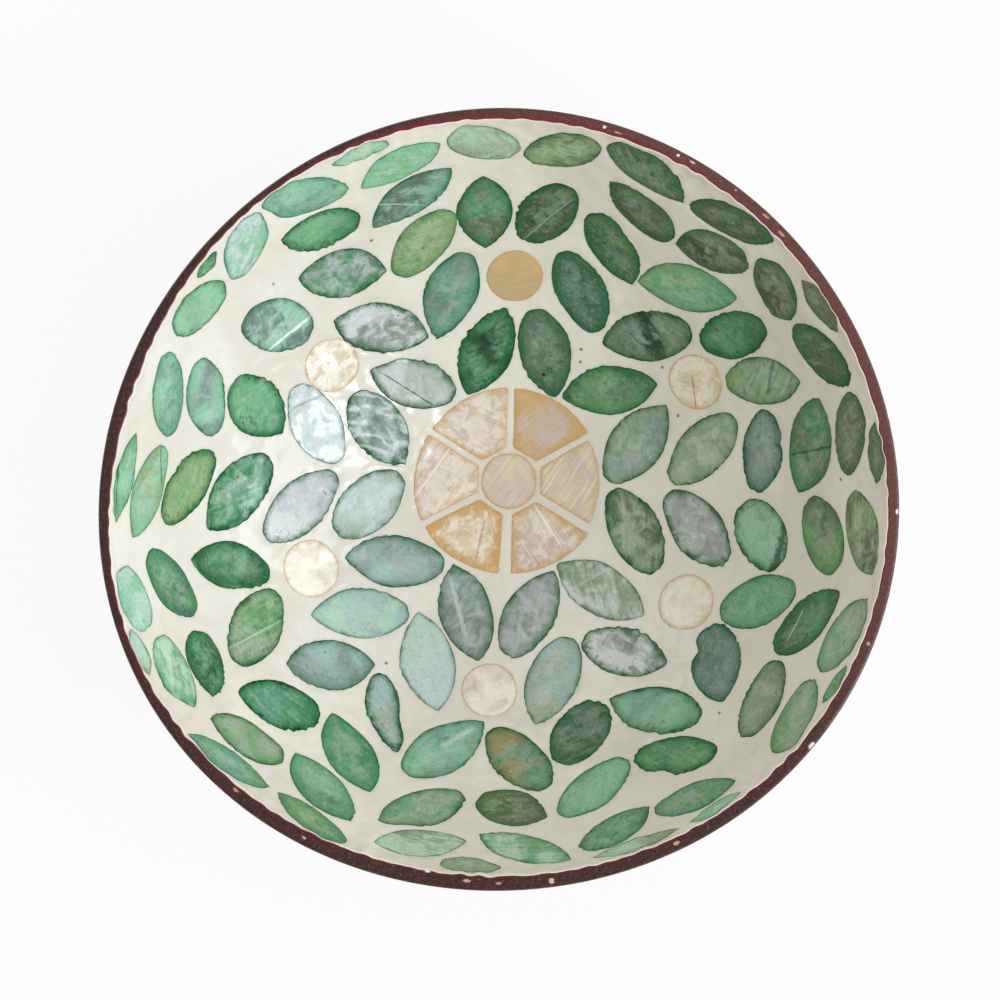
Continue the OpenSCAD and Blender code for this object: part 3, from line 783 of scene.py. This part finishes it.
band_in = np.clip((ring_r - ring_r[JOINT_RINGS - 1]) / line_w, 0, OFF_LINE)
is_lip, is_foot = np.zeros((2, len(rings), 1))
is_lip[JOINT_RINGS - 1:][:len(SAWN_SHARES), 0] = SAWN_SHARES
is_foot[-len(SANDED_SHARES):, 0] = SANDED_SHARES
steps = np.hypot(np.diff(ring_r[:, 0]), np.diff(rings[:, 0, 2]))
up_wall = np.concatenate([[0], np.cumsum(steps)])[:, None] / mouth_r


def on_shell(values, first, last):
    """A value for each ring, for each bearing or for both, spread over the shell's points."""
    return np.concatenate([[first], np.broadcast_to(values, ring_r.shape).ravel(), [last]])


fibre = np.stack([on_shell(np.cos(turn), 0, 0), on_shell(np.sin(turn), 0, 0),
                  on_shell(up_wall, 0, up_wall[-1, 0])], 1)
shell = piece("coconut_shell_polished", "coconut_shell", shell_points,
              ring_faces(len(rings) + 2, AROUND),
              {"lip": on_shell(is_lip, 0, 0), "foot": on_shell(is_foot, 0, 1),
               "band_in": on_shell(band_in, 0, OFF_LINE), "fibre": fibre})
print("shell triangles:", triangles(shell))

# %% [markdown]
# ## Finishes
# A material is a tree of nodes, and a wrapped socket lets the tree be written as sums. An operator
# between two of them, or with a number on either side, adds a Math node. Colours are mixed by a
# Mix node, and every other node comes from one method.

# %% Sockets that add up


def joined(operation):
    """A method that joins a flow to another term, if there is one, by a Math node."""
    return lambda self, *other: self.recipe.maths(operation, self, *other)


class Flow:
    """A node's output. Sums on it add Math nodes to the same recipe."""

    def __init__(self, recipe, socket):
        self.recipe, self.socket = recipe, socket

    __add__ = __radd__ = joined("ADD")
    __mul__ = __rmul__ = joined("MULTIPLY")
    __sub__, __truediv__ = joined("SUBTRACT"), joined("DIVIDE")
    __abs__, most, least = joined("ABSOLUTE"), joined("MAXIMUM"), joined("MINIMUM")

    def __rsub__(self, other):
        return self.recipe.maths("SUBTRACT", other, self)

    def step(self, low, high):
        """Soft step: 0 at low, 1 at high; the other way round where low is more than high."""
        if low > high:
            return 1 - self.step(high, low)
        return self.recipe.node("ShaderNodeMapRange", {"interpolation_type": "SMOOTHSTEP"},
                                {"Value": self, "From Min": low, "From Max": high})


class Recipe:
    """One finish: a material with a Principled BSDF, and the nodes that feed it."""

    def __init__(self, name, **fixed):
        self.material = bpy.data.materials.new(name)
        self.material.use_nodes = True
        self.tree = self.material.node_tree
        self.tree.nodes.clear()
        self.shader = self.tree.nodes.new("ShaderNodeBsdfPrincipled")
        self.out = self.tree.nodes.new("ShaderNodeOutputMaterial")
        self.tree.links.new(self.shader.outputs[0], self.out.inputs["Surface"])
        for key, value in fixed.items():
            self.shader.inputs[key.replace("_", " ")].default_value = value

    def node(self, kind, settings, sockets, out=0):
        """Adds a node: settings first, then each socket's value or link."""
        made = self.tree.nodes.new(kind)
        for key, value in settings.items():
            setattr(made, key, value)
        for key, value in sockets.items():
            if isinstance(value, Flow):
                self.tree.links.new(value.socket, made.inputs[key])
            else:
                made.inputs[key].default_value = value
        return Flow(self, made.outputs[out])

    def maths(self, operation, *terms):
        return self.node("ShaderNodeMath", {"operation": operation}, dict(enumerate(terms)))

    def vector(self, operation, link, fixed):
        """Vector Math on a link and a fixed vector, for a vector or, as its name says, a number."""
        out = "Value" if operation in ("DISTANCE", "DOT_PRODUCT") else 0
        return self.node("ShaderNodeVectorMath", {"operation": operation}, {0: link, 1: tuple(fixed)}, out)

    def attribute(self, name, out="Fac"):
        return self.node("ShaderNodeAttribute", {"attribute_name": name}, {}, out)

    def place(self):
        """Object coordinates in millimetres."""
        return self.vector("MULTIPLY", self.node("ShaderNodeTexCoord", {}, {}, "Object"), [1 / MM] * 3)

    def noise(self, vector, scale, detail=2.0, rough=0.5, twist=0.0):
        """Cloudy noise, about 0.3 to 0.7, with scale waves to each unit of the vector."""
        return self.node("ShaderNodeTexNoise", {}, {"Vector": vector, "Scale": scale, "Detail": detail,
                                                    "Roughness": rough, "Distortion": twist})

    def streaks(self, vector, stretch, *noise):
        """Noise whose waves to a unit differ along x, y and z."""
        return self.noise(self.vector("MULTIPLY", vector, stretch), 1.0, *noise)

    def mix(self, amount, a, b):
        """Colour a, and colour b where amount is 1."""
        colours = {k: c if isinstance(c, Flow) else (*c, 1) for k, c in ((6, a), (7, b))}
        return self.node("ShaderNodeMix", {"data_type": "RGBA"}, {0: amount, **colours}, 2)

    def coats(self, body, *coats):
        """Lays coats over a colour in order, each an amount and its screen colour."""
        for amount, *colour in coats:
            body = self.mix(amount, body, srgb(*colour))
        return body

    def bump(self, height, distance, **normal):
        """Normal from a height; distance is the height in metres of a step from 0 to 1."""
        return self.node("ShaderNodeBump", {}, {"Height": height, "Distance": distance, **normal})

    def lacquered(self, height, distance):
        """Normal of a fine height under lacquer, whose slow waves are a few mm long."""
        waves = self.bump(self.noise(self.place(), 0.24, 1, 0.4), 0.6 * MM)
        return self.bump(height, distance, Normal=waves)

    def marked(self, rough):
        """How much of a chip's mark is at a point: 1 within half its width of its line and between
        its ends. Rough is added to the distance beside the line, in half widths."""
        at = self.attribute("mark", "Vector")
        across, along, half = [self.node("ShaderNodeSeparateXYZ", {}, {0: at}, k) for k in range(3)]
        beside = abs(across) / half.most(0.01) + rough
        return beside.step(1.5, 0.4) * (0.5 - abs(along - 0.5) + rough * 0.1).step(-0.2, 0.1)

    def spot(self, at, place, size, rough):
        """1 within a size in mm of a place in mm, with a rough edge."""
        return (self.vector("DISTANCE", at, place) + rough).step(size * 1.5, size * 0.6)

    def finish(self, *pieces, **varying):
        for key, value in varying.items():
            self.tree.links.new(value.socket, self.shader.inputs[key.replace("_", " ")])
        for one in pieces:
            one.data.materials.clear()
            one.data.materials.append(self.material)
        print(self.material.name, "has", len(self.tree.nodes), "nodes, on", len(pieces), "pieces")


print("ready to mix finishes")

# %% [markdown]
# ** The green chips.** Freshwater shell is dyed and sawn. The dye is uneven, the growth lines of the
# shell show as fine streaks, and the ground edge soaks up most dye and goes nearly black in ragged
# nibbles. In places bare nacre shows through, grey, lilac and white, and its silver and white patches
# are partly painted sheen. One leaf has a small hole drilled in it, which is dark with filler and dye.
# All of it is laid in the chip's own coordinates, so that no two chips share a pattern, and the
# lacquer over it is a little wavy.

# %% Green pearl
CHIP_VALUES = ("rim", "dark", "nacre_and_sheen", "streak", "pale")
HOLE_SHARE, hole_r = [0.113, 0.325], 0.36
green = Recipe("green_pearl", IOR=1.5, Specular_IOR_Level=0.36)
grain = green.attribute("grain", "Vector")
rim, dark, nacre_and_sheen, streak, pale = map(green.attribute, CHIP_VALUES)
wash = green.noise(grain, 0.13, 2, 0.5, 0.6)
cloud = green.noise(grain, 0.36, 3, 0.58, 0.8)
lines = green.streaks(grain, (0.16, 1.1, 1), 3, 0.58, 0.3)
grit = green.noise(grain, 1.6, 4, 0.66)
soft, fine = cloud - 0.5, grit - 0.5
# silver patches of nacre: partly the nacre's own colour, partly painted sheen
silver_and_sheen = (cloud * 0.6 + wash * 0.6 + fine * 0.12 + rim * 0.015).step(0.50, 0.74) * nacre_and_sheen
blot = (cloud + fine * 0.5 - rim * 0.03).step(0.54, 0.66)
soak = 1 - (rim / (0.5 + dark * 1.5) + soft * 2.0 + fine).step(0.0, 1.0)
deep = 1 - (rim / (0.3 + dark * 0.7) + soft * 2.6 + fine * 1.6).step(0.0, 0.8)
edge = 1 - (rim + fine * 0.8 + soft * 0.6 - dark * 0.08).step(0.02, 0.28)
mark = green.marked(soft * 3.0 + fine * 2.0)
hole = green.spot(green.place(), moved(on_face(HOLE_SHARE)), hole_r, fine * 0.2)
body = green.mix((wash + (lines - 0.5) * 0.3 + soft * 0.5).step(0.38, 0.62),
                 green.attribute("dye", "Color"), green.attribute("drift", "Color"))
body = green.coats(
    body,
    (rim.step(0.6, 3.0) * cloud.step(0.35, 0.6) * (0.34 - dark * 0.24), 204, 218, 198),
    (lines.step(0.50, 0.74) * (0.07 + streak * 0.45), 198, 212, 192),
    (lines.step(0.50, 0.28) * (0.08 + streak * 0.42), 40, 80, 58),
    # silver and white nacre: partly the nacre's own colour, partly painted sheen
    (silver_and_sheen * 0.85, 198, 206, 208),
    ((cloud + grit * 0.5).step(0.74, 0.98) * nacre_and_sheen * 0.8, 244, 244, 246),
    (grit.step(0.50, 0.66) * 0.20, 34, 92, 58),
    (grit.step(0.48, 0.34) * 0.14, 204, 218, 194),
    (blot * dark * 0.75, 26, 84, 46),
    (soak * (0.42 + dark * 0.5), 26, 108, 58),
    (deep * dark * 0.8, 14, 54, 32),
    (edge * (0.45 + dark * 0.5), 12, 70, 40),
    (mark * pale.most(0), 232, 236, 232),
    (mark * (0 - pale).most(0), 14, 52, 32),
    (hole, 14, 44, 28))
green.finish(*leaf_pieces, Base_Color=body, Roughness=0.10 + grit * 0.08,
             Normal=green.lacquered(lines * 0.4 + grit * 0.3, 0.03 * MM))

# %% [markdown]
# **The cream chips.** Undyed shell, from near white to golden tan, with long pale streaks and amber
# lines where it was ground at the edge.

# %% Cream pearl
cream = Recipe("cream_pearl", IOR=1.5, Specular_IOR_Level=0.5)
grain = cream.attribute("grain", "Vector")
rim, dark, nacre_and_sheen, streak, pale = map(cream.attribute, CHIP_VALUES)
wash = cream.noise(grain, 0.16, 2, 0.5, 0.7)
cloud = cream.noise(grain, 0.4, 4, 0.6, 0.8)
lines = cream.streaks(grain, (0.13, 1.9, 1), 4, 0.62, 0.15)
grit = cream.noise(grain, 1.6, 4, 0.6)
soft, fine = cloud - 0.5, grit - 0.5
soak = 1 - (rim / (0.35 + dark * 2.2) + soft * 1.8 + fine * 0.6).step(0.0, 1.0)
edge = 1 - (rim + fine * 0.6).step(0.02, 0.26)
mark = cream.marked(soft * 2.0 + fine * 1.5)
body = cream.mix((wash + soft * 0.5).step(0.38, 0.62), cream.attribute("dye", "Color"),
                 cream.attribute("drift", "Color"))
body = cream.coats(
    body,
    (cloud.step(0.50, 0.66) * 0.45 * streak, 164, 140, 132),
    (lines.step(0.50, 0.68) * streak * 0.7, 246, 238, 226),
    (lines.step(0.46, 0.30) * streak * 0.45, 160, 130, 108),
    # white nacre: partly the nacre's own colour, partly painted sheen
    ((cloud + grit * 0.5).step(0.66, 0.90) * nacre_and_sheen, 252, 249, 242),
    ((cloud + (wash - 0.5) * 0.6).step(0.42, 0.60) * nacre_and_sheen * 0.8, 244, 236, 222),
    (soak * (0.15 + dark * 0.9), 206, 160, 96),
    (edge * 0.55, 184, 138, 82),
    (mark * pale.most(0), 252, 248, 240),
    (mark * (0 - pale).most(0), 176, 122, 64))
cream.finish(*cream_pieces, Base_Color=body, Roughness=0.12 + grit * 0.08,
             Normal=cream.lacquered(lines * 0.5 + grit * 0.4, 0.04 * MM))

# %% [markdown]
# ** The bed.** Pale filler under yellowed lacquer: nearly white on the side towards the light, with
# a little green bled out of the leaves and painted shade beside them, amber round the cream chips,
# and a few specks of dust.

# %% Filler
GREEN_SPECK_SHARE = [-0.577, 0.558]
SPECK_SHARES = [[-0.326, 0.669], [-0.684, 0.655], [0.208, 0.389], [0.206, 0.357], [0.413, 0.343],
                [0.452, 0.220], [0.854, 0.058], [0.556, -0.530], [-0.285, -0.406]]
speck_r = 0.28
filler = Recipe("filler", IOR=1.5, Specular_IOR_Level=0.5)
at = filler.place()
cloud, fine = filler.noise(at, 0.05, 3, 0.5), filler.noise(at, 0.9, 4, 0.6)
from_green, from_cream = map(filler.attribute, ("from_green", "from_cream"))
specks = [(GREEN_SPECK_SHARE, 60, 120, 78)] + [(share, 84, 64, 50) for share in SPECK_SHARES]
body = filler.coats(
    srgb(219, 213, 200),
    (cloud.step(0.35, 0.65), 228, 224, 212),
    (fine.step(0.50, 0.75) * 0.22, 206, 199, 184),
    # green dye bled out of the leaves, with painted shade beside them
    ((from_green + (fine - 0.5) * 1.2).step(0.6, 0.0) * 0.22, 150, 168, 146),
    ((from_cream + (fine - 0.5) * 0.8).step(0.4, 0.0) * 0.5, 204, 172, 126),
    *[(filler.spot(at, moved(on_face(share)), speck_r, (fine - 0.5) * 0.4) * 0.8, *colour)
      for share, *colour in specks])
ledge = from_green.least(from_cream).step(1.2, 0.0)
filler.finish(bed, Base_Color=body, Roughness=0.12 + fine * 0.08,
              Normal=filler.lacquered(fine * 0.4 - ledge * 1.2, 0.05 * MM))

# %% [markdown]
# ** The shell.** Outside it is dark brown and polished, with paler fibres running from pole to pole
# and pores between them. The sawn lip shows the wall's cut fibres as fine tan and white speckles,
# has painted light that makes it paler towards the upper right, and has a thin crimson line where
# the lacquer has run in along the bed. Its nicks are listed by bearing, radius, half length and half
# width in mm, and how white they are. The foot is sanded, so it is paler and duller.

# %% Coconut
NICKS = [[47.0, 67.1, 0.75, 0.26, 0], [43.6, 66.8, 0.8, 0.28, 0], [72.2, 66.6, 0.8, 0.16, 0.1],
         [74.3, 66.9, 0.32, 0.30, 1], [62.7, 67.0, 0.30, 0.26, 1], [-1.3, 67.6, 0.5, 0.4, 1],
         [-82.1, 66.7, 0.5, 0.5, 0.4], [-94.9, 66.2, 0.7, 0.3, 0.2], [-90.1, 66.5, 0.5, 0.22, 0.1],
         [-132.5, 66.2, 0.6, 0.3, 0], [-120.2, 66.5, 0.4, 0.25, 0.2], [-62.5, 66.5, 0.6, 0.35, 0.1],
         [-37.8, 67.4, 0.7, 0.4, 0.8], [-20.9, 66.9, 0.35, 0.3, 0.1], [60.4, 67.1, 0.5, 0.2, 0.4],
         [52.9, 67.2, 0.25, 0.2, 0.1], [-101.0, 65.3, 0.6, 0.25, 1]]
coconut = Recipe("shell", IOR=1.5, Specular_IOR_Level=0.35, Coat_Roughness=0.12)
at, fibre = coconut.place(), coconut.attribute("fibre", "Vector")
lip, foot, band_in = map(coconut.attribute, ("lip", "foot", "band_in"))
strands = coconut.streaks(fibre, (42, 42, 2.2), 5, 0.6, 0.5)
patch = coconut.streaks(fibre, (3, 3, 2), 4, 0.55, 0.8)
hairs = coconut.streaks(fibre, (110, 110, 5), 3, 0.6, 0.4)
pores = coconut.streaks(fibre, (70, 70, 26), 2, 0.5)
body = coconut.coats(
    srgb(44, 26, 18),
    (patch.step(0.36, 0.64), 72, 42, 27),
    (strands.step(0.52, 0.68) * 0.75, 122, 80, 48),
    (hairs.step(0.58, 0.70) * strands.step(0.4, 0.6) * 0.8, 168, 124, 80),
    (pores.step(0.66, 0.74) * 0.8, 24, 15, 11))
sawn, grit = coconut.noise(at, 1.5, 3, 0.6), coconut.noise(at, 3.4, 3, 0.6)
# painted light: the sawn lip is painted paler towards the upper right, its lit side
painted_light_north_east = coconut.vector("DOT_PRODUCT", at, (0.82, 0.57, 0))
cut = coconut.coats(
    srgb(42, 15, 14),
    (sawn.step(0.38, 0.64), 66, 26, 24),
    # painted light on the upper right of the lip
    (painted_light_north_east.step(5, 60) * (0.45 + sawn * 0.5), 106, 60, 55),
    (grit.step(0.44, 0.34) * 0.5, 34, 12, 12),
    ((grit + (sawn - 0.5) * 0.5).step(0.60, 0.72) * 0.5, 146, 104, 86),
    ((grit + (patch - 0.5) * 0.3).step(0.78, 0.82) * 0.9, 222, 206, 190),
    ((band_in + (sawn - 0.5) * 2.4).step(1.5, 0.6) * 0.9, 112, 18, 34))
for bearing, r, long, wide, paleness in NICKS:
    way = np.append(spun(EAST[:2], math.radians(bearing)), 0)
    apart = coconut.vector("SUBTRACT", at, moved(r * way + [0, 0, lip_z]))
    beside = coconut.vector("DOT_PRODUCT", apart, way / wide)
    along = coconut.vector("DOT_PRODUCT", apart, np.array([-way[1], way[0], 0]) / long)
    nick = (beside * beside + along * along + (grit - 0.5) * 2.5).step(1.3, 0.4)
    colour = srgb(192, 140, 102) * (1 - paleness) + srgb(242, 236, 232) * paleness
    cut = coconut.mix(nick * 0.85, cut, colour)
sanded = coconut.coats(
    srgb(126, 88, 58),
    (coconut.noise(at, 0.5, 4, 0.6, 0.5).step(0.38, 0.62), 92, 60, 38),
    (grit.step(0.52, 0.64) * 0.7, 164, 124, 86))
body = coconut.mix(foot, coconut.mix(lip.step(0.3, 0.8), body, cut), sanded)
height = strands * 0.6 - pores.step(0.66, 0.72) * 0.8 + lip * grit * 0.8
coconut.finish(shell, Base_Color=body, Roughness=0.30 + strands * 0.16 + foot * 0.25 + lip * 0.12,
               Coat_Weight=0.55 - foot * 0.5 - lip * 0.45, Normal=coconut.bump(height, 0.06 * MM))

# %% [markdown]
# ## Stage
# The photograph was taken from straight above, on a white ground. A floor that is plain grey to the
# light but white to the camera keeps the soft shadow and stays white. A large soft light from the
# right and a fainter one from the top stand for the room, and a narrow pane gives the window that
# shines back from some of the chips.

# %% Floor
floor_mesh = bpy.data.meshes.new("floor")
floor_mesh.from_pydata([(-3, -3, 0), (3, -3, 0), (3, 3, 0), (-3, 3, 0)], [], [(0, 1, 2, 3)])
floor_mesh.update()
floor = bpy.data.objects.new("floor", floor_mesh)
scene.collection.objects.link(floor)
ground = Recipe("floor", Base_Color=(0.8, 0.8, 0.8, 1), Roughness=0.9, Specular_IOR_Level=0.1)
seen, glossy, through = [ground.node("ShaderNodeLightPath", {}, {}, "Is %s Ray" % ray)
                         for ray in ("Camera", "Glossy", "Transmission")]
white = ground.node("ShaderNodeEmission", {}, {"Color": (1, 1, 1, 1), "Strength": 1.0})
both = ground.node("ShaderNodeMixShader", {}, {0: seen.most(glossy).most(through) * 0.92,
                                               1: Flow(ground, ground.shader.outputs[0]), 2: white})
ground.tree.links.new(both.socket, ground.out.inputs["Surface"])
floor.data.materials.append(ground.material)

world = bpy.data.worlds.new("room")
scene.world = world
world.use_nodes = True
back = world.node_tree.nodes["Background"]
back.inputs["Color"].default_value = (1, 0.968, 0.905, 1)
back.inputs["Strength"].default_value = 0.65
scene.view_settings.view_transform = "Standard"
print("floor and room ready")

# %% Lights and camera
LIT = Vector((0, 0, 0.02))


def pane(name, direction, distance, wide, high, power, colour):
    """Soft rectangular light of so many watts in a direction from the bowl, turned to its middle."""
    lamp = bpy.data.lights.new(name, "AREA")
    lamp.color = colour
    lamp.shape, lamp.size, lamp.size_y, lamp.energy = "RECTANGLE", wide, high, power
    obj = bpy.data.objects.new(name, lamp)
    scene.collection.objects.link(obj)
    place = np.array(direction) / np.linalg.norm(direction) * distance
    obj.location = place
    obj.rotation_euler = (LIT - Vector(place)).to_track_quat("-Z", "Y").to_euler()


pane("soft_key", (0.86, -0.12, 0.50), 1.6, 1.2, 1.2, 14.5, (0.80, 0.86, 1.0))
pane("north_fill", (-0.44, 0.78, 0.52), 1.6, 1.2, 1.2, 4.5, (0.97, 0.95, 1.0))
pane("window", (0.626, -0.357, 0.693), 1.5, 0.24, 0.8, 8, (0.88, 0.95, 1.0))
camera_z, sensor_w, seen_w = 6, 36, 0.1713
nudge_x, nudge_y = 0.00015, 0.00045
view = bpy.data.cameras.new("camera")
view.lens = sensor_w * (camera_z - lip_z * MM) / seen_w
view.clip_end = 20
camera = bpy.data.objects.new("camera", view)
scene.collection.objects.link(camera)
camera.location = (nudge_x, nudge_y, camera_z)
scene.camera = camera
print("camera lens %.0f mm" % view.lens)
